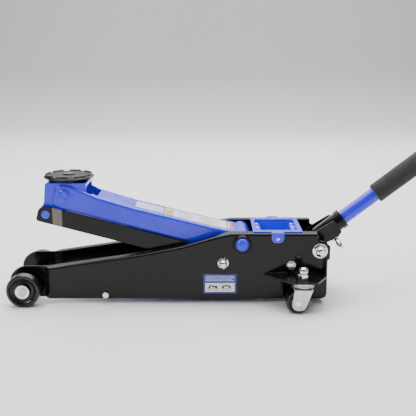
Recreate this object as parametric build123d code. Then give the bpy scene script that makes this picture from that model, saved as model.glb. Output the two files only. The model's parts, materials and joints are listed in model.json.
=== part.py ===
"""Low profile trolley jack, in millimetres, +Z up, saddle end at -X, handle at +X.

The jack stands on the floor at Z = 0. Raw X is counted from a station near the middle
of the side plates; shift_x moves everything so the box of the whole part is centred.
"""
from build123d import *
import math
import os

os.makedirs("parts", exist_ok=True)

# ---- chassis
half_width = 77.0          # outer face of a side plate
plate_t = 4.0
flange_in = 53.9           # inner edge of the top flange
deck_z = 154.0             # level top of the side plates
plate_bottom = 10.0
plate_rear = 256.0
# ---- pivots (X, Z)
arm_pivot = (72.0, 132.0)
bracket_offset = (-376.0, 99.0)     # arm pivot to front pivot, at rest
link_offset = (-40.0, -41.5)        # arm pivot to link pivot, same at both ends
handle_pivot = (236.0, 117.5)
handle_angle = 37.8
handle_line = 6.0                   # handle axis above the handle pivot
roller_at = (249.0, 103.0)          # roller that presses the pump plungers
front_axle = (-389.0, 35.3)
# ---- lift arm
arm_half = 46.0
arm_skin = 4.0
arm_above = 11.0
arm_below = 33.5
link_depth = 35.0
link_in, link_out = 46.6, 52.6
# ---- hydraulics
cyl_z = 74.0
ram_r = 14.0
piston_r = 22.0
cyl_r = 30.0
crank_r = 62.0
crank_lead = 7.5
fit = 0.05                          # radial clearance of a running fit
# ---- wheels
front_wheel_r = 35.3
caster_axis = (197.0, 119.6)
caster_trail = 12.5
caster_wheel_r = 23.5
shelf_top = 68.5
# ---- saddle
saddle_r = 54.0
saddle_base = 255.0
saddle_top = 270.0
# ---- handle
tube_r = 15.8
sleeve_r = 21.9
handle_len = 1150.0

front_pivot = (arm_pivot[0] + bracket_offset[0], arm_pivot[1] + bracket_offset[1])
link_rear = (arm_pivot[0] + link_offset[0], arm_pivot[1] + link_offset[1])
link_front = (front_pivot[0] + link_offset[0], front_pivot[1] + link_offset[1])

nodes = {}


def cyl(p, d, r, length):
    """A cylinder from point p along direction d."""
    return Solid.make_cylinder(r, length, plane=Plane(origin=p, z_dir=d))


def cone(p, d, r0, r1, length):
    return Solid.make_cone(r0, r1, length, plane=Plane(origin=p, z_dir=d))


def cyl_y(c, r, y0, y1):
    return cyl((c[0], min(y0, y1), c[1]), (0, 1, 0), r, abs(y1 - y0))


def box(x0, x1, y0, y1, z0, z1):
    return Pos((x0 + x1) / 2, (y0 + y1) / 2, (z0 + z1) / 2) * Box(abs(x1 - x0), abs(y1 - y0), abs(z1 - z0))


def rounded(pts, place):
    """A closed face from (u, v, corner radius) points; place maps (u, v) to space."""
    n = len(pts)
    ends, arcs = [], []
    for i in range(n):
        p, a, b = pts[i], pts[i - 1], pts[(i + 1) % n]
        r = p[2] if len(p) > 2 else 0.0
        ua = ((a[0] - p[0]), (a[1] - p[1]))
        ub = ((b[0] - p[0]), (b[1] - p[1]))
        la, lb = math.hypot(*ua), math.hypot(*ub)
        ua, ub = (ua[0] / la, ua[1] / la), (ub[0] / lb, ub[1] / lb)
        if r <= 0:
            ends.append(((p[0], p[1]), (p[0], p[1])))
            arcs.append(None)
            continue
        half = math.acos(max(-1, min(1, ua[0] * ub[0] + ua[1] * ub[1]))) / 2
        t = r / math.tan(half)
        s = (p[0] + ua[0] * t, p[1] + ua[1] * t)
        e = (p[0] + ub[0] * t, p[1] + ub[1] * t)
        m = (ua[0] + ub[0], ua[1] + ub[1])
        lm = math.hypot(*m)
        k = r / math.sin(half) - r
        ends.append((s, e))
        arcs.append((p[0] + m[0] / lm * k, p[1] + m[1] / lm * k))
    edges = []
    for i in range(n):
        s, e = ends[i]
        if arcs[i]:
            edges.append(ThreePointArc(place(*s), place(*arcs[i]), place(*e)))
        nxt = ends[(i + 1) % n][0]
        if math.hypot(nxt[0] - e[0], nxt[1] - e[1]) > 1e-6:
            edges.append(Line(place(*e), place(*nxt)))
    return Face(Wire(edges))


def prism(pts, y0, y1):
    """A side view outline (X, Z, radius) carried from y0 to y1."""
    lo, hi = min(y0, y1), max(y0, y1)
    return extrude(rounded(pts, lambda u, v: (u, lo, v)), amount=hi - lo, dir=(0, 1, 0))


def slab(pts, z0, z1):
    """A plan view outline (X, Y, radius) carried from z0 to z1."""
    return extrude(rounded(pts, lambda u, v: (u, v, z0)), amount=z1 - z0, dir=(0, 0, 1))


def hexagon(p, d, across, length, turn=0.0):
    pl = Plane(origin=p, z_dir=d)
    r = across / 2 / math.cos(math.pi / 6)
    pts = [(r * math.cos(math.radians(60 * i + turn)), r * math.sin(math.radians(60 * i + turn)))
           for i in range(6)]
    wire = Wire([Line(pl.from_local_coords(Vector(*pts[i], 0)), pl.from_local_coords(Vector(*pts[(i + 1) % 6], 0)))
                 for i in range(6)])
    return extrude(Face(wire), amount=length, dir=d)


def spun(pts, p, d):
    """A profile of (radius, height) points turned round direction d at p."""
    pl = Plane(origin=p, z_dir=d)
    edges = []
    for i in range(len(pts)):
        a, b = pts[i], pts[(i + 1) % len(pts)]
        edges.append(Line(pl.from_local_coords(Vector(a[0], 0, a[1])), pl.from_local_coords(Vector(b[0], 0, b[1]))))
    return revolve(Face(Wire(edges)), Axis(p, d))


def flip(shape):
    return mirror(shape, about=Plane.XZ)


def add(name, *solids):
    nodes[name] = list(solids)


def along(s, off=0.0, y=0.0):
    """A point on the handle: s from the pivot's station, off above the handle axis."""
    c, n = math.cos(math.radians(handle_angle)), math.sin(math.radians(handle_angle))
    h = handle_line + off
    return (handle_pivot[0] + s * c - h * n, y, handle_pivot[1] + s * n + h * c)


handle_dir = (math.cos(math.radians(handle_angle)), 0, math.sin(math.radians(handle_angle)))
handle_up = (-handle_dir[2], 0, handle_dir[0])


def frame_at(origin, toward):
    """Maps (u along the member, v above it) to X, Z."""
    dx, dz = toward[0] - origin[0], toward[1] - origin[1]
    ln = math.hypot(dx, dz)
    ux, uz = dx / ln, dz / ln
    nx, nz = (-uz, ux) if ux > 0 else (uz, -ux)
    return lambda u, v, r=0.0: (origin[0] + u * ux + v * nx, origin[1] + u * uz + v * nz, r)


def side_plate():
    """Left plate: pressed sheet, its top edge folded inward and its nose stepped in behind the front wheel."""
    w, t = half_width, plate_t
    nose_x, step0, step1 = front_axle[0] - 37, -351.0, -337.0
    nose_y = 59.0
    top = [(-342, 78.5, 20), (-143, 108, 60), (-53, 126, 60), (22, 148.5, 60), (50, deck_z, 22), (231.5, deck_z, 3)]
    pts = [(nose_x, plate_bottom, 28), (nose_x, 77.5, 36)] + top + [
        (234, 140, 5), (247, 136, 7), (258.5, 126, 6), (258.5, 99, 2), (plate_rear - 2.5, 94, 3),
        (plate_rear - 2, plate_bottom, 13)]
    body = prism(pts, -w, -flange_in)
    edges = [e for e in body.edges()
             if abs(e.center().Y + w) < 0.01 and abs(e.bounding_box().size.Y) < 0.01
             and e.center().Z > 72 and -400 < e.center().X < 233 and e.bounding_box().size.X > 5]
    try:
        body = fillet(edges, 5.0)
    except Exception:
        print("side plate: bend kept square")
    roof = [(step1, 79.3 - t)] + [(p[0], p[1] - t, p[2]) for p in top[1:-1]] + [(240, deck_z - t), (240, -20), (step1, -20)]
    body -= prism(roof, -(w - t), -flange_in + 5)
    body -= box(231.5, 300, -(w - t), -flange_in + 5, 0, 200)
    body -= slab([(step0, -nose_y + t), (step1, -w + t), (step1, -40), (step0, -40)], -10, 78 - t)
    body -= box(nose_x - 20, step0, -nose_y + t, -40, 0, 200)
    body -= slab([(nose_x - 20, -w - 5), (step1, -w - 5), (step1, -w), (step0, -nose_y), (nose_x - 20, -nose_y)], -10, 200)
    for c, r in ((arm_pivot, 12.0), (link_rear, 7.0), (handle_pivot, 8.0), (front_axle, 9.0), ((-218, 20), 4.0),
                 ((176, 85.6), 5.0)):
        body -= cyl_y(c, r, -half_width - 5, -flange_in + 5)
    body -= cyl_y((147, 142.5), 2.0, -half_width - 5, -flange_in + 5)
    return body


def chassis():
    left = side_plate()
    add("side_plate_left", left)
    add("side_plate_right", flip(left))
    inner = half_width - plate_t
    add("front_cross_tube", cyl_y(front_axle, 12.5, -55, 55) - cyl_y(front_axle, 9.0, -100, 100))
    ax = cyl_y(front_axle, 9.0, -109.6, 109.6)
    for s in (-1, 1):
        ax -= cyl_y(front_axle, 20, s * 106.4, s * 107.6) - cyl_y(front_axle, 7.2, s * 106.4, s * 107.6)
    add("front_axle", ax)
    washers, clips = [], []
    for s in (-1, 1):
        washers.append(cyl_y(front_axle, 14.6, s * 104.4, s * 106.3) - cyl_y(front_axle, 9.0, s * 102, s * 109))
        clip = cyl_y(front_axle, 12.2, s * 106.5, s * 107.5) - cyl_y(front_axle, 7.2, s * 106, s * 109)
        clip -= box(front_axle[0] - 3, front_axle[0] + 3, s * 106, s * 108, front_axle[1] - 20, front_axle[1])
        clips.append(clip)
    add("front_axle_clips", *clips)
    spacers = [cyl_y(front_axle, 13.0, s * 59, s * 80.6) - cyl_y(front_axle, 9.0, s * 50, s * 90) for s in (-1, 1)]
    add("front_axle_washers", *washers, *spacers)
    tie = (-218, 20)
    add("tie_rod", cyl_y(tie, 4.0, -half_width, half_width), *[hexagon((tie[0], s * half_width, tie[1]), (0, s, 0), 12.0, 5.0, 12)
                           + cyl((tie[0], s * (half_width + 5), tie[1]), (0, s, 0), 5.2, 0.8) for s in (-1, 1)])
    bar = box(238, 252, -inner, inner, 13, 25)
    add("rear_tie_bar", fillet(bar.edges().filter_by(Axis.Y), 2.0))
    shelf()


def shelf():
    """Outrigger shelf that carries a rear caster, with a gusset up the plate at its rear."""
    w = half_width
    cx, cy = caster_axis
    plate = slab([(118.7, -w), (170, -143.5, 10), (223, -145.3, 12), (246, -104, 14), (250, -w)], shelf_top - 4, shelf_top)
    face = rounded([(-w, shelf_top - 2), (-w - 24, shelf_top - 2), (-w - 20, shelf_top + 4, 4), (-w - 5, shelf_top + 22, 14),
                    (-w - 3, shelf_top + 34, 2), (-w, shelf_top + 34)], lambda u, v: (244.5, u, v))
    rear = extrude(face, amount=4.0, dir=(1, 0, 0))
    body = plate + rear
    body -= cyl((cx, -cy, 40), (0, 0, 1), 6.0, 60)
    add("caster_shelf_left", body)
    add("caster_shelf_right", flip(body))


def shafts():
    w = half_width
    add("arm_shaft", cyl_y(arm_pivot, 12.0, -w - 7, w + 7))
    collars, caps = [], []
    for s in (-1, 1):
        c = spun([(12.0, 0), (19.5, 0), (19.5, 3.5), (17.5, 6), (12.0, 6)], (arm_pivot[0], s * w, arm_pivot[1]), (0, s, 0))
        collars.append(c)
        cap = spun([(0, 0), (13.4, 0), (13.4, 3.5), (12.4, 6.2), (9.4, 8.2), (5, 9.2), (0, 9.5)],
                   (arm_pivot[0], s * (w + 7), arm_pivot[1]), (0, s, 0))
        caps.append(cap)
    add("arm_shaft_collars", *collars)
    add("arm_shaft_caps", *caps)
    bolts, spacers, nuts, washers = [], [], [], []
    for s in (-1, 1):
        bolts.append(cyl_y(link_rear, 7.0, s * 46.8, s * (w + 4)))
        spacers.append(cyl_y(link_rear, 12.0, s * (link_out + 0.4), s * (w - plate_t)) - cyl_y(link_rear, 7.0, s * 40, s * 90))
        washers.append(cyl_y(link_rear, 11.5, s * w, s * (w + 2)) - cyl_y(link_rear, 7.0, s * 70, s * 90))
        p = (link_rear[0], s * (w + 2), link_rear[1])
        nut = hexagon(p, (0, s, 0), 18.5, 8.0, 10)
        nut += spun([(0, 8), (8.8, 8), (8.2, 11), (6.2, 13.6), (3.2, 15), (0, 15.4)], p, (0, s, 0))
        nuts.append(nut - cyl_y(link_rear, 7.0, s * (w + 2), s * (w + 4)))
    add("link_pivot_bolts", *bolts, *nuts)
    nuts = []
    for s in (-1, 1):
        spacers.append(cyl_y(handle_pivot, 15.0, s * 64.5, s * (w - plate_t)) - cyl_y(handle_pivot, 8.0, s * 60, s * 90))
        washers.append(cyl_y(handle_pivot, 15.8, s * w, s * (w + 3)) - cyl_y(handle_pivot, 8.0, s * 70, s * 99))
        p = (handle_pivot[0], s * (w + 3), handle_pivot[1])
        nut = hexagon(p, (0, s, 0), 24.0, 9.0, 6)
        nut += spun([(0, 9), (11, 9), (10, 11.8), (8, 14.2), (4, 16), (0, 16.4)], p, (0, s, 0))
        nuts.append(nut - cyl_y(handle_pivot, 8.0, s * (w + 2), s * (w + 10)))
    add("pivot_spacers", *spacers)
    add("pivot_washers", *washers)
    add("handle_pivot_shaft", cyl_y(handle_pivot, 8.0, -w - 10, w + 10), *nuts)


def cover():
    """Pressed tray over the power unit, with a rounded tab down each side plate."""
    t = 1.8
    w = half_width
    z = deck_z
    rim = slab([(95.5, -67, 5), (200.5, -67, 5), (200.5, 67, 5), (95.5, 67, 5)], z, z + t)
    ledge = slab([(102, -51, 7), (193, -51, 7), (193, 51, 7), (102, 51, 7)], z - 8, z + t)
    pan = slab([(113, -49, 8), (183, -49, 8), (183, 49, 8), (113, 49, 8)], z - 30, z)
    body = rim + ledge + pan
    body -= slab([(104, -49, 5), (191, -49, 5), (191, 49, 5), (104, 49, 5)], z - 8 + t, z + t + 1)
    body -= slab([(115, -47, 6), (181, -47, 6), (181, 47, 6), (115, 47, 6)], z - 30 + t, z)
    top_edges = [e for e in body.edges() if abs(e.center().Z - (z + t)) < 0.01 and abs(e.center().Y) < 50
                 and 103 < e.center().X < 192]
    try:
        body = fillet(top_edges, 1.2)
    except Exception:
        print("cover: inner edge kept square")
    tab = box(133.5, 160, -w - t, -66, z, z + t)
    down = prism([(133.5, z + t), (160, z + t), (160, 134, 11), (133.5, 134, 11)], -w - t, -w)
    tab = tab + down
    tab -= cyl_y((147, 142.5), 2.0, -w - 5, -60)
    body = body + tab + flip(tab)
    holes = [(108.6, -34), (108.6, 0), (108.6, 34), (187, -34), (187, 0), (187, 34)]
    for x, y in holes:
        body -= cyl((x, y, z - 15), (0, 0, 1), 2.0, 20)
    add("top_cover", body)
    screws = []
    top = z - 8 + t
    for x, y in holes:
        screws.append(spun([(0, -5.5), (2.0, -5.5), (2.0, 0), (3.4, 0), (3.1, 1.4), (1.9, 2.1), (0, 2.3)],
                           (x, y, top), (0, 0, 1)))
    for s in (-1, 1):
        p = (147, s * (w + t), 142.5)
        screws.append(spun([(0, -5.6), (2.0, -5.6), (2.0, 0), (4.0, 0), (3.6, 1.4), (2.1, 2.2), (0, 2.4)], p, (0, s, 0)))
    add("top_cover_screws", *screws)
    rails = []
    for x0, x1 in ((103, 112.8), (183.2, 192)):
        rail = box(x0, x1, -w + plate_t, w - plate_t, z - 12, z - 8)
        for x, y in holes:
            rail -= cyl((x, y, z - 20), (0, 0, 1), 2.0, 20)
        rails.append(rail)
    add("cover_rails", *rails)


def power_unit():
    x0, x1 = 123.0, 212.0
    w = half_width - plate_t
    barrel = cyl((x0 + 6, 0, cyl_z), (1, 0, 0), cyl_r, x1 - x0 - 6) - cyl((x0, 0, cyl_z), (1, 0, 0), piston_r + fit, x1 - x0)
    add("main_cylinder", barrel)
    nut = hexagon((x0, 0, cyl_z), (1, 0, 0), 2 * cyl_r, 6, 0)
    nut -= cyl((x0 - 1, 0, cyl_z), (1, 0, 0), ram_r + fit, 10)
    add("cylinder_end_nut", nut)
    blocks, bolts = [], []
    for s in (-1, 1):
        b = prism([(163, 64, 4), (189, 64, 4), (189, 100, 4), (163, 100, 4)], s * 20, s * w)
        b -= cyl((150, 0, cyl_z), (1, 0, 0), cyl_r, 60)
        b -= cyl_y((176, 85.6), 5.0, s * (w - 18), s * (w + 1))
        blocks.append(b)
        bolt = cyl_y((176, 85.6), 5.0, s * (w - 18), s * (w + plate_t))
        p = (176, s * half_width, 85.6)
        bolt += cyl(p, (0, s, 0), 9.8, 1.6) + hexagon((176, s * (half_width + 1.6), 85.6), (0, s, 0), 16, 6.5, 20)
        bolt += spun([(0, 8.1), (7.4, 8.1), (6.4, 8.9), (0, 9.1)], p, (0, s, 0))
        bolts.append(bolt)
    add("power_unit_mounts", *blocks)
    add("power_unit_bolts", *bolts)
    base = prism([(x1, 32, 4), (257, 32, 6), (257, 86, 5), (229, 86, 4), (223, 101, 4), (x1, 101, 0)], -38, 38)
    base += prism([(218, 32, 3), (250, 32, 3), (250, 58, 6), (218, 58, 6)], -w, w)
    for s in (-1, 1):
        base -= cyl((roller_at[0], s * 18, 46), (0, 0, 1), 5.0 + fit, 80)
    base -= cyl((240, 0, 50), (1, 0, 0), 6.0 + fit, 30)
    base -= cyl((217, 24, 80), (0, 0, 1), 4.0, 60)
    add("power_unit_base", base)
    add("filler_plug", cyl((217, 24, 84), (0, 0, 1), 4.0, 17.0) + cyl((217, 24, 101), (0, 0, 1), 4.9, 2.6)
        - box(216, 218, 10, 40, 102.4, 110))
    tank = cyl((133, 0, cyl_z), (1, 0, 0), 38.0, 26) - cyl((130, 0, cyl_z), (1, 0, 0), cyl_r, 60)
    tank2 = cyl((193, 0, cyl_z), (1, 0, 0), 38.0, 19) - cyl((190, 0, cyl_z), (1, 0, 0), cyl_r, 60)
    add("reservoir_shell", tank, tank2)


def crank_pin(phi=0.0):
    a = math.radians(crank_lead - phi)
    return (arm_pivot[0] + crank_r * math.sin(a), arm_pivot[1] - crank_r * math.cos(a))


def ram():
    p = crank_pin()
    head = prism([(p[0] - 16, 52, 6), (p[0] + 16, 52, 6), (p[0] + 16, 97, 6), (p[0] - 16, 97, 6)], -13, 13)
    head -= prism([(p[0] - 9.3, 58, 9), (p[0] + 9.3, 58, 9), (p[0] + 9.3, 91, 9), (p[0] - 9.3, 91, 9)], -20, 20)
    add("ram_head", head)
    rod = cyl((p[0] + 16, 0, cyl_z), (1, 0, 0), ram_r, 171.0 - p[0] - 16)
    add("ram_rod", rod + cyl((171.0, 0, cyl_z), (1, 0, 0), piston_r, 12))


def lift_arm():
    at = frame_at(front_pivot, arm_pivot)
    length = math.hypot(*bracket_offset)
    skin = arm_skin
    y = arm_half
    out = [at(-25, 20, 21), at(-22, -29, 10), at(2, -arm_below, 14),
           at(length - 6, -arm_below, 18), at(length + 17, -18, 16), at(length + 15, arm_above + 4, 4),
           at(length - 20, arm_above + 4, 30), at(length - 60, arm_above + 1, 60), at(150, arm_above - 1.5, 240),
           at(66, arm_above + 1.5, 60), at(8, 22, 24)]
    body = prism(out, -y, y)
    edges = [e for e in body.edges() if abs(abs(e.center().Y) - y) < 0.01 and abs(e.bounding_box().size.Y) < 0.01]
    line = [e for e in edges if (e.center().Z - (front_pivot[1] + (e.center().X - front_pivot[0]) * bracket_offset[1]
                                               / bracket_offset[0])) > 4 and e.center().X > front_pivot[0] + 20]
    try:
        body = fillet(line, 6.0)
    except Exception:
        print("arm: top edge kept square")
    cav = [at(-80, 60, 0), at(-80, -80, 0), at(length + 40, -80, 0), at(length + 40, -10, 0),
           at(length + 11, -10, 0), at(length + 11, arm_above, 0),
           at(length - 20, arm_above, 0), at(length - 60, arm_above + 1 - skin, 0), at(150, arm_above - 1.5 - skin, 0),
           at(54.5, arm_above + 1.9 - skin, 0), at(54.5, 60, 0)]
    body -= prism(cav, -y + skin, y - skin)
    body -= cyl_y(arm_pivot, 20.0, -y - 1, y + 1)
    body -= cyl_y(front_pivot, 10.0, -y - 1, y + 1)
    mouth = [at(40, 30, 0), at(40, arm_above - 12, 0), at(67, arm_above - 12, 0), at(67, 30, 0)]
    body -= prism(mouth, -31, 31)
    add("lift_arm", body)
    hub = cyl_y(arm_pivot, 20.0, -y, y)
    p = crank_pin()
    cr = frame_at(arm_pivot, p)
    for s in (-1, 1):
        web = prism([cr(-14, -16, 10), cr(crank_r + 11.5, -11.5, 11), cr(crank_r + 11.5, 11.5, 11), cr(-14, 16, 10)],
                    s * 16, s * 24)
        hub += web
    hub -= cyl_y(arm_pivot, 12.0 + fit, -80, 80)
    hub -= cyl_y(p, 7.0, -40, 40)
    hub -= box(20, 130, -15.9, 15.9, 40, 111)
    add("arm_hub", hub)
    add("crank_pin", cyl_y(p, 7.0, -26, 26))
    pin = cyl_y(front_pivot, 8.0, -(y + 3), y + 3)
    for s in (-1, 1):
        pin += spun([(0, 0), (10.0, 0), (10.0, 4), (12.2, 4), (11.6, 6.4), (9.6, 7.4), (8.6, 6.2), (0, 6.2)],
                    (front_pivot[0], s * (y - 4), front_pivot[1]), (0, s, 0))
    add("arm_front_pin", pin)


def links():
    at = frame_at(link_front, link_rear)
    ln = math.hypot(*bracket_offset)
    h = link_depth / 2
    bars = []
    for s in (-1, 1):
        b = prism([at(-h, -h, 5), at(-h, h, 15), at(ln + h, h, 17), at(ln + h, -h, 17)], s * link_in, s * link_out)
        b -= cyl_y(link_front, 7.5, s * 40, s * 60)
        b -= cyl_y(link_rear, 7.0 + fit, s * 40, s * 60)
        bars.append(b)
    add("link_left", bars[0])
    add("link_right", bars[1])
    pin = cyl_y(link_front, 7.5, -link_out, link_out)
    for s in (-1, 1):
        pin += cyl_y(link_front, 8.8, s * link_out, s * (link_out + 0.7))
    add("link_front_pin", pin)


def saddle_bracket():
    b, d = front_pivot, link_front
    y = arm_half - arm_skin - 0.6
    out = [(-345, saddle_base, 4), (-258, saddle_base, 2), (-258, 231, 6), (-286, 205, 20), (d[0] + 17, d[1] - 10, 10),
           (d[0] + 8, d[1] - 15, 8), (d[0] - 14, d[1] - 15, 10), (d[0] - 14, d[1] + 10, 8), (-349, 212, 12)]
    body = prism(out, -y, y)
    inner = [(-339, saddle_base - 7, 0), (-250, saddle_base - 7, 0), (-250, 150, 0), (d[0] + 2, 150, 0),
             (d[0] + 2, d[1] + 14, 0), (-339, 210, 0)]
    body -= prism(inner, -y + 6, y - 6)
    body -= box(d[0] - 20, d[0] + 40, -y + 6, y - 6, 150, d[1] + 12)
    cx = front_pivot[0] + 3
    post = cyl((cx, 0, saddle_base - 24), (0, 0, 1), 17.0, 18)
    post -= cyl_y(b, 9.0, -60, 60)
    body += post
    body -= cyl((cx, 0, saddle_base - 60), (0, 0, 1), 11.0 + fit, 80)
    body -= cyl_y(b, 8.0 + fit, -60, 60)
    body -= cyl_y(d, 8.0, -60, 60)
    add("saddle_bracket", body)


def saddle():
    cx = front_pivot[0] + 3
    z0, z1 = saddle_base + 0.4, saddle_top
    p = (cx, 0, z0)
    h = z1 - z0
    rim = 50.4
    body = spun([(0, 0), (38, 0), (44, 1.0), (48.5, 3.4), (53, 6.4), (saddle_r, 7.4), (saddle_r, 8.4), (52.6, 9.6),
                 (51, 11.6), (rim, h - 0.8), (rim - 0.8, h), (46.6, h), (45.6, h - 1), (45.2, h - 4.2), (0, h - 4.2)],
                p, (0, 0, 1))
    pad = cyl((cx, 0, z0 + h - 4.3), (0, 0, 1), 43, 2.3)
    g = 7.4
    for i in range(-6, 7):
        pad -= Pos(cx + i * g, 0, z0 + h - 1.9) * Box(2.2, 120, 2.4)
        pad -= Pos(cx, i * g, z0 + h - 1.9) * Box(120, 2.2, 2.4)
    body += pad + cyl((cx, 0, z0 + h - 4.3), (0, 0, 1), 13.0, 4.3)
    for i in range(8):
        body -= Pos(cx, 0, z0 + h) * Rot(0, 0, 45 * i + 16) * Pos(49, 0, 0) * Box(14, 13, 5.2)
    body = body & cyl((cx, 0, z0 - 1), (0, 0, 1), saddle_r + 0.2, 30)
    body += cyl((cx, 0, z0 - 12.5), (0, 0, 1), 11.0, 13)
    add("saddle", body)


def front_wheels():
    x, z = front_axle
    w = 23.0
    prof = [(9.06, 0), (13, 0), (14, 2), (24, 2), (27, 0), (32.5, 0), (front_wheel_r, 2.5), (front_wheel_r, w - 3),
            (33.9, w - 0.8), (31.4, w), (28.8, w - 0.5), (27.2, w - 4.2), (22, w - 7.5), (17.2, w - 6.4), (15.8, w - 1.2),
            (9.06, w - 1.2)]
    for name, s in (("left", -1), ("right", 1)):
        add("front_wheel_" + name, spun(prof, (x, s * 81.0, z), (0, s, 0)))


def casters():
    cx, cy = caster_axis
    ax = (cx - caster_trail, caster_wheel_r)
    races, stems, nuts = [], [], []
    race_z = shelf_top - 4
    zf = race_z - 12.2
    crown_z = zf - 0.4
    nut_z = shelf_top
    for name, s in (("left", -1), ("right", 1)):
        y = s * cy
        races.append(spun([(6.0, 0), (23.4, 0), (23.4, -2.2), (21.6, -3.6), (21.6, -6.0), (23.4, -7.0), (22.6, -9.6),
                           (18, -12.2), (6.0, -12.2)], (cx, y, race_z), (0, 0, 1)))
        crown = slab([(cx - 21, y - 24.4, 8), (cx + 19, y - 24.4, 8), (cx + 19, y + 24.4, 8), (cx - 21, y + 24.4, 8)],
                     crown_z - 2.5, crown_z)
        fork = crown
        for t in (-1, 1):
            leg = prism([(cx - 20, crown_z - 0.5, 2), (cx + 17.5, crown_z - 0.5, 2), (ax[0] + 14, ax[1] - 15.5, 13),
                         (ax[0] - 14, ax[1] - 15.5, 13)], y + t * 21.4, y + t * 24.4)
            leg -= cyl_y(ax, 4.0, y - 60, y + 60)
            fork += leg
        fork -= cyl((cx, y, zf - 8), (0, 0, 1), 6.0 + fit, 16)
        add("caster_fork_" + name, fork)
        low = crown_z - 2.8
        stem = cyl((cx, y, low), (0, 0, 1), 6.0, nut_z + 14 - low) + cyl((cx, y, low - 2.0), (0, 0, 1), 8.0, 2.0)
        stem += spun([(0, 12), (6.0, 12), (9.4, 14.4), (9.6, 19), (8.4, 23.2), (5.2, 26.2), (0, 27.4)], (cx, y, nut_z), (0, 0, 1))
        stems.append(stem)
        nuts.append(hexagon((cx, y, nut_z), (0, 0, 1), 20.5, 11.4, 12) - cyl((cx, y, nut_z - 1), (0, 0, 1), 6.0, 20))
        rivet = cyl_y(ax, 4.0, y - 24.8, y + 24.8)
        for t in (-1, 1):
            rivet += spun([(0, 0), (6.2, 0), (5.6, 1.0), (0, 1.6)], (ax[0], y + t * 24.4, ax[1]), (0, t, 0))
        add("caster_axle_" + name, rivet)
        prof = [(4.0 + fit, -21), (9, -21), (9.5, -18.6), (15, -17.6), (19, -19.6), (21.6, -19.6), (caster_wheel_r, -17.4),
                (caster_wheel_r, 17.4), (21.6, 19.6), (19, 19.6), (15, 17.6), (9.5, 18.6), (9, 21), (4.0 + fit, 21)]
        add("caster_wheel_" + name, spun(prof, (ax[0], y, ax[1]), (0, 1, 0)))
    add("caster_races", *races)
    add("caster_stems", *stems, *nuts)


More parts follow.
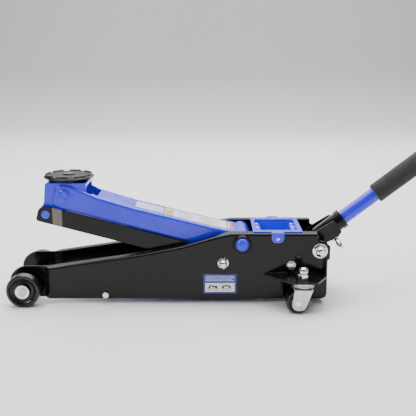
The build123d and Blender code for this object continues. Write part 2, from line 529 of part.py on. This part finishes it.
def handle():
    hp = handle_pivot
    body = cyl_y(hp, 12.0, -64, 64)

    def at(s, v, r=0.0):
        return along(s, v)[0], along(s, v)[2], r
    roll = roller_at
    for t in (-1, 1):
        cheek = prism([(hp[0] - 14, hp[1] - 10, 10), (roll[0] - 9, roll[1] - 9, 7), (258, roll[1] - 9, 6),
                       (258, 124, 3), (279, 133, 5), at(60, -15, 4), at(62, 15, 6), at(14, 20, 10),
                       (hp[0] - 17, hp[1] + 12, 12)], t * 27.5, t * 32.5)
        body += cheek
    body += cyl(along(12), handle_dir, 20.0, 66) + cyl(along(69), handle_dir, 22.6, 4) + cyl(along(76), handle_dir, 22.6, 3.5)
    body += cyl(along(70), handle_dir, 21.0, 9)
    gus = prism([(hp[0] + 4, hp[1] - 6, 3), (262, 122, 5), at(50, -18, 3), at(30, -10, 0), (hp[0], hp[1] + 8, 0)], -4, 4)
    body += gus
    for t in (-1, 1):
        body += prism([at(18, -12, 4), at(58, -12, 4), at(58, 12, 4), at(18, 12, 4)], t * 17, t * 29)
    body -= cyl(along(26), handle_dir, tube_r + fit, 120)
    body -= cyl_y(hp, 8.0 + fit, -80, 80)
    body -= cyl_y(roll, 3.0, -40, 40)
    # the clamp screw comes in from the operator's left, below the socket
    tilt = math.radians(48)
    out = (-handle_up[0] * math.cos(tilt), -math.sin(tilt), -handle_up[2] * math.cos(tilt))
    base = along(40)

    def on_screw(r):
        return tuple(base[i] + out[i] * r for i in range(3))
    boss = cyl(on_screw(17.5), out, 8.5, 8.5) - cyl(along(26), handle_dir, tube_r + fit, 120)
    body += boss
    body -= cyl(on_screw(10), out, 4.0, 60)
    body -= cyl(on_screw(26.1), out, 9.4, 34)
    add("handle_yoke", body)
    add("pump_roller", cyl_y(roll, 6.0, -27, 27) - cyl_y(roll, 3.0, -60, 60), cyl_y(roll, 3.0, -34, 34))
    screw = cyl(on_screw(tube_r + 0.6), out, 4.0, 30) + cyl(on_screw(44), out, 6.0, 9)
    eye = cyl(tuple(on_screw(54)[i] - handle_dir[i] * 3.5 for i in range(3)), handle_dir, 7.5, 7)
    eye -= cyl(tuple(on_screw(54)[i] - handle_dir[i] * 6 for i in range(3)), handle_dir, 3.2, 12)
    nut = hexagon(on_screw(26.2), out, 15, 7) - cyl(on_screw(20), out, 4.0, 20)
    add("clamp_screw", screw + eye, nut)
    s0, s_mid, s1 = 26.6, 640.0, handle_len
    low = cyl(along(s0), handle_dir, tube_r, s_mid - s0) - cyl(along(s0 - 1), handle_dir, tube_r - 2.2, s_mid)
    low -= cyl(along(s_mid - 30, 0), handle_up, 4.0, 30)
    add("handle_lower_tube", low)
    up = cyl(along(s_mid - 70), handle_dir, tube_r - 2.25, 70) + cyl(along(s_mid), handle_dir, tube_r, s1 - s_mid)
    up -= cyl(along(s_mid - 80), handle_dir, tube_r - 4.4, s1)
    up -= cyl(along(s_mid - 30, 0), handle_up, 4.0, 30)
    add("handle_upper_tube", up)
    btn = spun([(0, tube_r - 4.3), (4.0, tube_r - 4.3), (4.0, tube_r + 1.0), (2.6, tube_r + 2.2), (0, tube_r + 2.6)],
               along(s_mid - 30), handle_up)
    add("handle_snap_button", btn)
    slv = cyl(along(166), handle_dir, sleeve_r, 430) - cyl(along(160), handle_dir, tube_r, 450)
    add("handle_sleeve", fillet([e for e in slv.edges() if e.length > 2 * math.pi * sleeve_r * 0.9], 2.0))
    grip = cyl(along(s1 - 125), handle_dir, tube_r + 2.6, 128) - cyl(along(s1 - 130), handle_dir, tube_r, 130)
    add("handle_grip", grip)
    for name, s in (("left", -1), ("right", 1)):
        x = roller_at[0]
        pl = cyl((x, s * 18, 52), (0, 0, 1), 5.0, 42) + cyl((x, s * 18, 92.8), (0, 0, 1), 7.0, 3.7)
        add("pump_plunger_" + name, pl)
    valve = cyl((240.6, 0, 50), (1, 0, 0), 6.0, 19) + box(258.5, 264, -3, 3, 43, 57)
    add("release_valve", valve)


def label():
    """A thin plain sticker low on the left side plate."""
    add("side_label", box(-10, 61, -half_width - 0.4, -half_width, 22.5, 65.5))


chassis()
shafts()
cover()
power_unit()
ram()
lift_arm()
links()
saddle_bracket()
saddle()
front_wheels()
casters()
handle()
label()


def export_all():
    boxes = [s.bounding_box() for group in nodes.values() for s in group]
    lo = min(b.min.X for b in boxes)
    hi = max(b.max.X for b in boxes)
    shift_x = -round((lo + hi) / 2, 3)
    print("shift_x", shift_x, "x", round(lo, 2), round(hi, 2),
          "y", round(min(b.min.Y for b in boxes), 2), round(max(b.max.Y for b in boxes), 2),
          "z", round(min(b.min.Z for b in boxes), 2), round(max(b.max.Z for b in boxes), 2))
    for name, group in nodes.items():
        parts = []
        for g in group:
            parts += [s.moved(Location((shift_x, 0, 0))) for s in g.solids()]
        shape = parts[0] if len(parts) == 1 else Compound(children=parts)
        export_step(shape, "parts/" + name + ".step")
        print(name, len(parts), round(sum(p.volume for p in parts)))


export_all()
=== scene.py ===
import json
import math

import bpy
import numpy as np
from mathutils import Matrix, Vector
from mathutils.bvhtree import BVHTree


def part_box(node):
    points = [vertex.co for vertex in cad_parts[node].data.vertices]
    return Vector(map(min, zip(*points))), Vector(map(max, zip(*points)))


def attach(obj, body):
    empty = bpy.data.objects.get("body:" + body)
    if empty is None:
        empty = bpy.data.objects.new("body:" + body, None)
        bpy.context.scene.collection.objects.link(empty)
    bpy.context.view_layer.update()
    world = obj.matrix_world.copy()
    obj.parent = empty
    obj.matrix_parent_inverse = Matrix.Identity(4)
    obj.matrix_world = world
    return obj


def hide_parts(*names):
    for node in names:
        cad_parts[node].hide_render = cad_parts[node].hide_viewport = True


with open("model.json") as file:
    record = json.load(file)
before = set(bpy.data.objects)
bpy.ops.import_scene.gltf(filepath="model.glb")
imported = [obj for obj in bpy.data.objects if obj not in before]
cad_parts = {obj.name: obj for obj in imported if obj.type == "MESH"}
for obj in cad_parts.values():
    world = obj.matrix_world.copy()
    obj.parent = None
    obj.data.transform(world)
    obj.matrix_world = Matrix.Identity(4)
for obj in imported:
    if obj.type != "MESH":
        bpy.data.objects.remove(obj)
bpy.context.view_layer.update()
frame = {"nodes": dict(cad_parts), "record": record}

NODES = frame["nodes"]

# The record's origin is the middle of the whole jack. Raw X, as the part's script counts it, is this much further on.
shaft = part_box("arm_shaft")
DX = (shaft[0].x + shaft[1].x) / 2 - 0.072
ARM_A = Vector((0.072 + DX, 0, 0.132))
ARM_B = Vector((-0.304 + DX, 0, 0.231))
HANDLE = math.radians(37.8)
PIVOT = Vector((0.236 + DX, 0, 0.1175))
HANDLE_LINE = 0.006      # the handle's axis above its pivot
TUBE_R = 0.01585         # just outside the handle's tube
SLEEVE_R, SLEEVE_SPAN = 0.0218, (0.166, 0.596)
GRIP_R, GRIP_SPAN = 0.01825, (1.025, 1.153)
SHELF_SPAN = (121, 246)  # the welds of the caster shelves, in the part's own millimetres
HUB_WELD_R = 20.6
FOCAL = 63.4327          # on a 36 mm wide sensor
CAMERA_BACK, CAMERA_HEIGHT, CAMERA_DOWN = 1.564, 0.542, 12.6


# ---------------------------------------------------------------- materials

class Tree:
    """Short calls for building one material's nodes."""

    def __init__(self, name):
        self.mat = bpy.data.materials.new(name)
        self.mat.use_nodes = True
        self.nt = self.mat.node_tree
        self.bsdf = next(n for n in self.nt.nodes if n.type == "BSDF_PRINCIPLED")
        self.co = self.nt.nodes.new("ShaderNodeTexCoord").outputs["Object"]

    def node(self, kind, **props):
        n = self.nt.nodes.new(kind)
        for k, v in props.items():
            setattr(n, k, v)
        return n

    def link(self, a, b):
        self.nt.links.new(a, b)

    def put(self, socket, value):
        if hasattr(value, "is_output"):
            self.link(value, socket)
        else:
            socket.default_value = value

    def scaled(self, sx, sy, sz):
        m = self.node("ShaderNodeMapping")
        m.inputs["Scale"].default_value = (sx, sy, sz)
        self.link(self.co, m.inputs["Vector"])
        return m.outputs["Vector"]

    def noise(self, scale, detail=3, rough=0.5, vector=None):
        n = self.node("ShaderNodeTexNoise")
        n.inputs["Scale"].default_value = scale
        n.inputs["Detail"].default_value = detail
        n.inputs["Roughness"].default_value = rough
        self.link(vector or self.co, n.inputs["Vector"])
        return n.outputs[0]

    def voronoi(self, scale):
        n = self.node("ShaderNodeTexVoronoi")
        n.inputs["Scale"].default_value = scale
        self.link(self.co, n.inputs["Vector"])
        return n.outputs["Distance"]

    def span(self, value, a, b, lo, hi):
        n = self.node("ShaderNodeMapRange")
        n.clamp = True
        self.put(n.inputs["Value"], value)
        for key, v in (("From Min", a), ("From Max", b), ("To Min", lo), ("To Max", hi)):
            n.inputs[key].default_value = v
        return n.outputs["Result"]

    def math(self, op, a, b=0.0, clamp=False):
        n = self.node("ShaderNodeMath", operation=op, use_clamp=clamp)
        self.put(n.inputs[0], a)
        self.put(n.inputs[1], b)
        return n.outputs[0]

    def mix(self, fac, a, b):
        n = self.node("ShaderNodeMix", data_type="RGBA")
        self.put(n.inputs[0], fac)
        self.put(n.inputs[6], (*a, 1) if isinstance(a, tuple) else a)
        self.put(n.inputs[7], (*b, 1) if isinstance(b, tuple) else b)
        return n.outputs[2]

    def axis(self, which):
        n = self.node("ShaderNodeSeparateXYZ")
        self.link(self.co, n.inputs[0])
        return n.outputs[which]

    def bevel(self, radius):
        n = self.node("ShaderNodeBevel", samples=4)
        n.inputs["Radius"].default_value = radius
        return n.outputs["Normal"]

    def edges(self, radius):
        """1 on outer edges and 0 on flats, broken up by noise."""
        geo = self.node("ShaderNodeNewGeometry")
        dot = self.node("ShaderNodeVectorMath", operation="DOT_PRODUCT")
        self.link(self.bevel(radius), dot.inputs[0])
        self.link(geo.outputs["Normal"], dot.inputs[1])
        raw = self.span(dot.outputs["Value"], 1.0, 0.86, 0.0, 1.0)
        patch = self.span(self.noise(95, 5, 0.65), 0.47, 0.62, 0.0, 1.0)
        return self.math("MULTIPLY", raw, patch, clamp=True)

    def facing_up(self):
        geo = self.node("ShaderNodeNewGeometry")
        sep = self.node("ShaderNodeSeparateXYZ")
        self.link(geo.outputs["Normal"], sep.inputs[0])
        return self.span(sep.outputs[2], 0.5, 1.0, 0.0, 1.0)

    def bump(self, height, strength, distance, normal=None):
        n = self.node("ShaderNodeBump")
        n.inputs["Strength"].default_value = strength
        n.inputs["Distance"].default_value = distance
        self.link(height, n.inputs["Height"])
        if normal is not None:
            self.link(normal, n.inputs["Normal"])
        return n.outputs["Normal"]

    def finish(self, colour=None, rough=None, metal=None, normal=None, **flat):
        b = self.bsdf.inputs
        if colour is not None:
            self.put(b["Base Color"], (*colour, 1) if isinstance(colour, tuple) else colour)
        if rough is not None:
            self.put(b["Roughness"], rough)
        if metal is not None:
            self.put(b["Metallic"], metal)
        if normal is not None:
            self.link(normal, b["Normal"])
        for k, v in flat.items():
            b[k.replace("_", " ")].default_value = v
        return self.mat


def paint(name, dark, light, rough, worn, wear=0.8, coat=0.3, peel=0.09, edge=0.0009, dust_and_sheen=0.10, dust_and_sheen_colour=(0.3, 0.3, 0.3),
          spec=0.5, band=None):
    t = Tree(name)
    base = t.mix(t.span(t.noise(7, 4), 0.3, 0.7, 0, 1), dark, light)
    fine = t.span(t.noise(60, 6, 0.7), 0.62, 0.8, 0, 1)
    base = t.mix(t.math("MULTIPLY", fine, 0.35), base, light)
    # dust plus painted sheen: up-facing faces are mixed, in noisy patches, toward a lighter colour that is partly dust
    # and partly a painted reflection of the overhead light
    up = t.facing_up()
    film = t.math("MULTIPLY", up, t.span(t.noise(22, 6, 0.6), 0.42, 0.75, 0, dust_and_sheen))
    base = t.mix(film, base, dust_and_sheen_colour)
    edge_mask = t.math("MULTIPLY", t.edges(edge), wear)
    base = t.mix(edge_mask, base, worn)
    # painted reflection: a beige band along X is mixed into the gloss black colour in place of a reflection
    if band:
        x = t.math("ADD", t.axis(0), t.span(t.noise(160, 4), 0, 1, -0.0008, 0.0008))
        m = t.math("MULTIPLY", t.span(x, band[0], band[0] + 0.0016, 0, 1), t.span(x, band[1] - 0.003, band[1], 1, 0))
        m = t.math("MULTIPLY", m, t.span(t.noise(30, 5, 0.6), 0.2, 0.5, 0.72, 1))
        base = t.mix(m, base, t.mix(t.noise(90, 5, 0.7), (0.115, 0.105, 0.085), (0.21, 0.195, 0.165)))
    r = t.math("ADD", t.span(t.noise(34, 5, 0.6), 0.3, 0.72, rough * 0.75, rough * 1.4), t.math("MULTIPLY", film, 1.5))
    r = t.math("ADD", r, t.math("MULTIPLY", edge_mask, 0.25), clamp=True)
    n = t.bump(t.noise(520, 2), peel, 0.0004, t.bevel(0.0011))
    n = t.bump(t.noise(46, 3), 0.05, 0.0012, n)
    return t.finish(base, r, None, n, Coat_Weight=coat, Coat_Roughness=0.06, Specular_IOR_Level=spec)


def metal(name, dark, light, rough, scratch=0.12, along=(1, 1, 1), stain=(0.36, 0.33, 0.28), stains=0.25):
    t = Tree(name)
    lines = t.noise(260, 4, 0.6, t.scaled(*along))
    base = t.mix(t.span(t.noise(38, 4), 0.3, 0.7, 0, 1), dark, light)
    spots = t.math("MULTIPLY", t.span(t.noise(130, 6, 0.7), 0.6, 0.8, 0, 1), stains)
    base = t.mix(spots, base, stain)
    r = t.math("ADD", t.span(lines, 0.3, 0.7, rough * 0.7, rough * 1.5), t.math("MULTIPLY", spots, 0.5), clamp=True)
    n = t.bump(lines, scratch, 0.00025, t.bevel(0.0007))
    return t.finish(base, r, None, n, Metallic=1.0)


def rubbery(name, dark, light, rough, grain, strength, distance, wear=0.5):
    t = Tree(name)
    base = t.mix(t.span(t.noise(16, 5), 0.3, 0.72, 0, 1), dark, light)
    e = t.math("MULTIPLY", t.edges(0.0012), wear)
    base = t.mix(e, base, tuple(min(1, c * 3 + 0.03) for c in light))
    r = t.span(t.noise(70, 4), 0.3, 0.7, rough - 0.09, rough + 0.08)
    n = t.bump(t.noise(grain, 3, 0.7), strength, distance, t.bevel(0.001))
    return t.finish(base, r, None, n)


def foam(name):
    t = Tree(name)
    cells = t.voronoi(620)
    base = t.mix(t.span(cells, 0.05, 0.6, 0, 1), (0.006, 0.006, 0.006), (0.022, 0.022, 0.023))
    base = t.mix(t.span(t.noise(18, 5), 0.45, 0.8, 0, 0.35), base, (0.05, 0.05, 0.05))
    n = t.bump(cells, 0.5, 0.0005)
    n = t.bump(t.noise(60, 3), 0.18, 0.0014, n)
    return t.finish(base, t.span(t.noise(90, 3), 0.3, 0.7, 0.78, 0.95), None, n, Sheen_Weight=0.15)


BLUE = (0.014, 0.013, 0.72)
BLUE_HI = (0.022, 0.024, 0.90)
BLACK = ((0.0030, 0.0030, 0.0026), (0.0058, 0.0058, 0.0050), 0.13, (0.08, 0.08, 0.08), 0.45, 0.0, 0.06, 0.0008, 0.06,
         (0.10, 0.10, 0.10), 0.26)
MATS = {
    "black_gloss_paint": paint("black gloss paint", *BLACK),
    # the blue paint's lavender colour for up-facing faces is a painted sheen
    "blue_gloss_paint": paint("blue gloss paint", BLUE, BLUE_HI, 0.22, (0.22, 0.28, 0.75), 0.25, 0.45, 0.08, 0.0009,
                              0.04, (0.30, 0.35, 0.75), 0.4),
    "blue_cap": rubbery("blue moulded cap", BLUE, BLUE_HI, 0.30, 300, 0.08, 0.0003, 0.2),
    "bright_zinc": metal("bright zinc", (0.62, 0.63, 0.65), (0.92, 0.93, 0.95), 0.13, 0.08),
    "satin_zinc": metal("satin zinc", (0.50, 0.50, 0.52), (0.70, 0.70, 0.72), 0.36, 0.16, (1, 1, 0.12)),
    "dark_steel": metal("machined steel", (0.16, 0.16, 0.17), (0.30, 0.30, 0.31), 0.32, 0.14, (0.2, 1, 1)),
    "cast_black": paint("black painted casting", (0.0045, 0.0045, 0.0040), (0.010, 0.010, 0.009), 0.30,
                        (0.12, 0.115, 0.10), 0.7, 0.0, 0.35, 0.0010, 0.10, (0.06, 0.06, 0.055), 0.4),
    "gun_metal": paint("dark painted casting", (0.012, 0.012, 0.013), (0.028, 0.028, 0.030), 0.42,
                       (0.16, 0.16, 0.16), 0.5, 0.0, 0.4, 0.0012, 0.25, (0.12, 0.11, 0.10), 0.4),
    "black_wheel": rubbery("moulded black wheel", (0.0035, 0.0035, 0.0035), (0.0085, 0.0085, 0.0085), 0.30, 420, 0.12,
                           0.0003),
    "foam_black": foam("black foam sleeve"),
    "grip_black": rubbery("rubber grip", (0.008, 0.008, 0.008), (0.020, 0.020, 0.020), 0.6, 500, 0.35, 0.0004),
    "label_film": rubbery("label film", (0.78, 0.78, 0.84), (0.90, 0.90, 0.92), 0.3, 300, 0.05, 0.0002, 0.0),
}
# the left link carries a beige band of painted reflection near its front pin
LINK_REFLECTION_BAND = paint("black gloss paint painted reflection", *BLACK, band=(-0.3305 + DX, -0.3080 + DX))


def film(name, dark, light, rough=0.32):
    t = Tree(name)
    base = t.mix(t.span(t.noise(120, 4), 0.35, 0.68, 0, 1), dark, light)
    scuff = t.span(t.noise(900, 3, 0.7, t.scaled(0.1, 1, 1)), 0.66, 0.74, 0, 0.35)
    base = t.mix(scuff, base, (0.6, 0.6, 0.62))
    return t.finish(base, t.span(t.noise(200, 3), 0.3, 0.7, rough * 0.8, rough * 1.3), None,
                    t.bump(t.noise(420, 2), 0.06, 0.0003))


FILM = {
    "white": film("white print", (0.72, 0.72, 0.78), (0.88, 0.88, 0.93)),
    "navy": film("navy print", (0.010, 0.012, 0.14), (0.02, 0.03, 0.24)),
    "violet": film("violet blue print", (0.04, 0.035, 0.30), (0.07, 0.06, 0.42)),
    "pale": film("pale blue print", (0.28, 0.33, 0.66), (0.42, 0.48, 0.82)),
    "ink": film("black print", (0.006, 0.006, 0.005), (0.015, 0.012, 0.010)),
    "tan": film("tan print", (0.62, 0.54, 0.44), (0.78, 0.72, 0.62)),
    "yellow": film("yellow print", (0.72, 0.55, 0.06), (0.86, 0.70, 0.14)),
    "grey": film("grey print", (0.26, 0.27, 0.32), (0.38, 0.39, 0.45)),
    "red": film("red print", (0.50, 0.05, 0.07), (0.66, 0.10, 0.12)),
    # painted reflection: a pale lilac film laid on the blue arm top in place of its sheen
    "lilac": film("lilac painted reflection", (0.45, 0.47, 0.72), (0.58, 0.60, 0.84)),
}

for sub in frame["record"]["subparts"]:
    obj = NODES[sub["node"]]
    obj.data.materials.clear()
    # the left link takes the black paint with the painted reflection band
    obj.data.materials.append(LINK_REFLECTION_BAND if sub["node"] == "link_left" else MATS[sub["material_slot"]])


# ---------------------------------------------------------------- geometry helpers

def mesh(name, verts, faces, mat, smooth=True, body=None):
    name = name.replace(" ", "_")
    me = bpy.data.meshes.new(name)
    me.from_pydata([tuple(v) for v in verts], [], faces)
    me.update()
    me.materials.append(mat)
    if smooth:
        for p in me.polygons:
            p.use_smooth = True
    ob = bpy.data.objects.new(name, me)
    bpy.context.scene.collection.objects.link(ob)
    if body:
        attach(ob, body)
    return ob


def node_tree_of(name):
    o = NODES[name]
    m = o.matrix_world
    verts = [m @ v.co for v in o.data.vertices]
    return BVHTree.FromPolygons(verts, [tuple(p.vertices) for p in o.data.polygons])


def patch(name, corner, du, dv, nu, nv, mat, body, tree, cast, lift, thick):
    """A thin printed film laid on a surface: a grid thrown along cast onto the tree, then thickened."""
    cast = cast.normalized()
    pts, keep = [], {}
    for i in range(nu + 1):
        for j in range(nv + 1):
            p = corner + du * (i / nu) + dv * (j / nv)
            hit, normal, _, _ = tree.ray_cast(p - cast * 0.03, cast, 0.08)
            if hit is None:
                hit = p
            keep[i, j] = len(pts)
            pts.append(hit - cast * lift)
    n = len(pts)
    pts += [p - cast * thick for p in pts]
    faces = []
    for i in range(nu):
        for j in range(nv):
            a, b, c, d = keep[i, j], keep[i + 1, j], keep[i + 1, j + 1], keep[i, j + 1]
            faces.append((a + n, b + n, c + n, d + n))
    ring = [keep[i, 0] for i in range(nu + 1)] + [keep[nu, j] for j in range(1, nv + 1)] \
        + [keep[i, nv] for i in range(nu - 1, -1, -1)] + [keep[0, j] for j in range(nv - 1, 0, -1)]
    for k in range(len(ring)):
        a, b = ring[k], ring[(k + 1) % len(ring)]
        faces.append((a, b, b + n, a + n))
    return mesh(name, pts, faces, mat, False, body)


def tube_path(name, path, radius, mat, body, sides, wobble):
    """A round bead along a path; wobble makes the ripples of a weld."""
    verts, faces = [], []
    count = len(path)
    for i, p in enumerate(path):
        a = path[max(i - 1, 0)]
        b = path[min(i + 1, count - 1)]
        t = (b - a).normalized()
        side = t.cross(Vector((0, 0, 1)))
        if side.length < 0.1:
            side = t.cross(Vector((0, 1, 0)))
        side.normalize()
        up = side.cross(t)
        r = radius * (1 + wobble * math.sin(i * 1.9) + wobble * 0.6 * math.sin(i * 0.71))
        for k in range(sides):
            ang = 2 * math.pi * k / sides
            verts.append(p + side * r * math.cos(ang) + up * r * math.sin(ang))
    for i in range(count - 1):
        for k in range(sides):
            a, b = i * sides + k, i * sides + (k + 1) % sides
            faces.append((a, b, b + sides, a + sides))
    faces.append(tuple(range(sides))[::-1])
    faces.append(tuple((count - 1) * sides + k for k in range(sides)))
    return mesh(name, verts, faces, mat, True, body)


def line(a, b, step):
    n = max(2, int((b - a).length / step))
    return [a.lerp(b, i / n) for i in range(n + 1)]


def raw(x, y, z):
    """A point from the part's own millimetres."""
    return Vector((x / 1000 + DX, y / 1000, z / 1000))


def lathe(name, profile, origin, direction, mat, body, segments=96, shape=None):
    """Profile of (height, radius) in metres turned round a line; shape(h, angle) adds to the radius."""
    d = direction.normalized()
    side = d.cross(Vector((0, 1, 0)))
    if side.length < 0.1:
        side = d.cross(Vector((1, 0, 0)))
    side.normalize()
    up = side.cross(d)
    verts, faces = [], []
    for h, r in profile:
        for k in range(segments):
            a = 2 * math.pi * k / segments
            rr = r + (shape(h, a) if shape else 0.0)
            verts.append(origin + d * h + side * rr * math.cos(a) + up * rr * math.sin(a))
    for i in range(len(profile) - 1):
        for k in range(segments):
            a, b = i * segments + k, i * segments + (k + 1) % segments
            faces.append((a, b, b + segments, a + segments))
    return mesh(name, verts, faces, mat, True, body)


# ---------------------------------------------------------------- printed labels, with no lettering, and a painted reflection band on the arm

def side_label():
    tree = node_tree_of("side_label")
    cast = Vector((0, 1, 0))
    o = raw(-10, -77.4, 22.5)
    ex, ez = Vector((0.071, 0, 0)), Vector((0, 0, 0.043))

    def block(name, u0, u1, v0, v1, mat, level=1):
        patch(name, o + ex * u0 + ez * v0, ex * (u1 - u0), ez * (v1 - v0), 2, 2, FILM[mat], "chassis", tree, cast,
              0.00004 + 0.00007 * level, 0.00005)
    block("label border", 0.0, 1.0, 0.0, 1.0, "navy", 0)
    block("label heading", 0.045, 0.955, 0.60, 0.945, "violet")
    block("label panel", 0.055, 0.945, 0.09, 0.555, "white")
    for k, (u0, u1, v) in enumerate(((0.10, 0.92, 0.885), (0.06, 0.94, 0.80), (0.08, 0.86, 0.725), (0.06, 0.92, 0.655))):
        block("label rule %d" % k, u0, u1, v, v + 0.045, "pale", 2)
    for side in (0, 1):
        u = 0.16 + 0.40 * side
        block("label ground %d" % side, u - 0.02, u + 0.30, 0.16, 0.30, "tan", 2)
        steps = 10
        for i in range(steps):
            a = i / steps
            arch = 0.045 * math.sin(math.pi * min(1, a * 2.2)) if side == 0 else 0.045 * math.sin(math.pi * a)
            block("label figure %d %d" % (side, i), u + 0.26 * a, u + 0.26 * (a + 1.02 / steps), 0.33 + arch,
                  0.40 + arch, "ink", 3)
        for i, du in enumerate((0.0, 0.20)):
            block("label foot %d %d" % (side, i), u + du, u + du + 0.055, 0.27, 0.345, "ink", 3)


def arm_labels():
    tree = node_tree_of("lift_arm")
    u = (ARM_A - ARM_B).normalized()
    n = Vector((-u.z, 0, u.x))
    if n.z < 0:
        n = -n

    def strip(name, u0, u1, y0, y1, mat, level=0, nu=8):
        c = ARM_B + u * u0 + n * 0.014 + Vector((0, y0, 0))
        patch(name, c, u * (u1 - u0), Vector((0, y1 - y0, 0)), nu, 2, FILM[mat], "lift_arm", tree, -n,
              0.00006 + 0.00007 * level, 0.00005)
    # one pale lilac band of painted reflection on the arm top, then a warning panel made of plain blocks and rules
    strip("arm painted reflection band", 0.150, 0.211, -0.026, 0.026, "lilac")
    strip("arm yellow block", 0.214, 0.234, -0.030, 0.030, "yellow")
    for k in range(4):
        strip("arm yellow bar %d" % k, 0.217 + 0.004 * k, 0.2185 + 0.004 * k, -0.024, 0.020 - 0.006 * (k % 2), "ink", 1, 2)
    strip("arm panel", 0.235, 0.352, -0.032, 0.032, "white", 0, 12)
    for k in range(16):
        y = -0.028 + 0.0036 * k
        strip("arm rule %d" % k, 0.240 + 0.003 * (k % 3), 0.286 - 0.004 * ((k * 7) % 4), y, y + 0.0014, "grey", 1, 6)
        strip("arm rule b %d" % k, 0.291, 0.346 - 0.005 * ((k * 5) % 4), y, y + 0.0014, "grey", 1, 6)
    strip("arm red band", 0.353, 0.366, -0.032, 0.032, "red")
    strip("arm red rule", 0.356, 0.359, -0.026, 0.026, "white", 1, 2)


# ---------------------------------------------------------------- welds

def welds():
    black = MATS["black_gloss_paint"]
    for s in (-1, 1):
        y = s * 77.6
        path = line(raw(SHELF_SPAN[0], y, 69.0), raw(SHELF_SPAN[1], y, 69.0), 0.0016)
        tube_path("shelf weld top %d" % s, path, 0.0019, black, "chassis", 8, 0.16)
        path = line(raw(SHELF_SPAN[0], y, 63.9), raw(SHELF_SPAN[1], y, 63.9), 0.0016)
        tube_path("shelf weld under %d" % s, path, 0.0016, black, "chassis", 8, 0.16)
        ring = [raw(72 + HUB_WELD_R * math.cos(a), s * 46.4, 132 + HUB_WELD_R * math.sin(a))
                for a in np.linspace(math.radians(-190), math.radians(10), 46)]
        tube_path("arm hub weld %d" % s, ring, 0.0016, MATS["blue_gloss_paint"], "lift_arm", 8, 0.14)


# ---------------------------------------------------------------- handle sleeve and grip

def handle_parts():
    d = Vector((math.cos(HANDLE), 0, math.sin(HANDLE)))
    up = Vector((-d.z, 0, d.x))
    origin = PIVOT + up * HANDLE_LINE
    r = SLEEVE_R
    s0, s1 = SLEEVE_SPAN
    prof = [(s0, TUBE_R), (s0, r - 0.0030), (s0 + 0.0006, r - 0.0016), (s0 + 0.0018, r - 0.0005), (s0 + 0.0040, r)]
    prof += [(s, r) for s in np.linspace(s0 + 0.010, s1 - 0.010, 120)]
    prof += [(s1 - 0.0040, r), (s1 - 0.0018, r - 0.0005), (s1 - 0.0006, r - 0.0016), (s1, r - 0.0030), (s1, TUBE_R)]

    def dents(h, a):
        return -0.00025 * max(0, math.sin(h * 47 + 2 * math.cos(a)) * math.sin(3 * a + h * 19))
    sleeve = lathe("handle sleeve foam", prof, origin, d, MATS["foam_black"], "handle", 128, dents)
    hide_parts("handle_sleeve")
    r = GRIP_R
    g0, g1 = GRIP_SPAN
    prof = [(g0, TUBE_R), (g0, r - 0.001), (g0 + 0.0008, r)]
    for k in range(22):
        c = g0 + 0.006 + k * 0.0053
        prof += [(c, r), (c + 0.0006, r - 0.0009), (c + 0.0018, r - 0.0009), (c + 0.0024, r)]
    prof += [(g1 - 0.0040, r), (g1 - 0.0012, r - 0.0005), (g1, r - 0.0024), (g1, 0.0001)]
    grip = lathe("handle grip ribbed", prof, origin, d, MATS["grip_black"], "handle", 96, None)
    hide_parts("handle_grip")


side_label()
arm_labels()
welds()
handle_parts()


# ---------------------------------------------------------------- studio

def studio():
    t = Tree("pale floor")
    base = t.mix(t.span(t.noise(0.7, 3), 0.3, 0.7, 0, 1), (0.86, 0.86, 0.865), (0.90, 0.90, 0.905))
    t.finish(base, t.span(t.noise(3, 3), 0.3, 0.7, 0.6, 0.75), None, None, Specular_IOR_Level=0.2)
    n = 24
    verts, faces = [], []
    prof = [(-4.0, 0.0), (3.0, 0.0)]
    for i in range(1, n + 1):
        a = math.pi / 2 * i / n
        prof.append((3.0 + 1.5 * math.sin(a), 1.5 - 1.5 * math.cos(a)))
    prof.append((4.5, 6.0))
    for y, z in prof:
        verts += [(-7, y, z), (7, y, z)]
    for i in range(len(prof) - 1):
        faces.append((2 * i, 2 * i + 1, 2 * i + 3, 2 * i + 2))
    floor = mesh("floor", verts, faces, t.mat)

    def area(name, at, to, sx, sy, watts, colour=(1, 1, 1)):
        li = bpy.data.lights.new(name, "AREA")
        li.shape = "RECTANGLE"
        li.size, li.size_y = sx, sy
        li.energy = watts
        li.color = colour
        ob = bpy.data.objects.new(name, li)
        ob.location = at
        ob.rotation_euler = (Vector(to) - Vector(at)).to_track_quat("-Z", "Y").to_euler()
        bpy.context.scene.collection.objects.link(ob)
    area("overhead", (-0.3, 0.5, 2.8), (-0.3, 0.3, 0), 3.6, 2.6, 178)
    area("back strip", (-0.3, 2.6, 1.9), (-0.3, 0.4, 0.0), 4.4, 1.4, 84)
    area("left key", (-2.6, -1.6, 1.6), (-0.5, 0, 0.1), 0.9, 0.9, 36)
    area("right fill", (2.0, -2.0, 1.2), (-0.1, 0, 0.1), 0.9, 0.8, 14)
    world = bpy.data.worlds.new("studio")
    bpy.context.scene.world = world
    world.use_nodes = True
    bg = world.node_tree.nodes["Background"]
    bg.inputs[0].default_value = (1, 1, 1, 1)
    bg.inputs[1].default_value = 0.17

    cam = bpy.data.cameras.new("camera")
    cam.lens = FOCAL
    cam.sensor_width = 36
    cam.clip_end = 50
    ob = bpy.data.objects.new("camera", cam)
    ob.location = (DX, -CAMERA_BACK, CAMERA_HEIGHT)
    ob.rotation_euler = (math.radians(90 - CAMERA_DOWN), 0, 0)
    bpy.context.scene.collection.objects.link(ob)
    bpy.context.scene.camera = ob


studio()
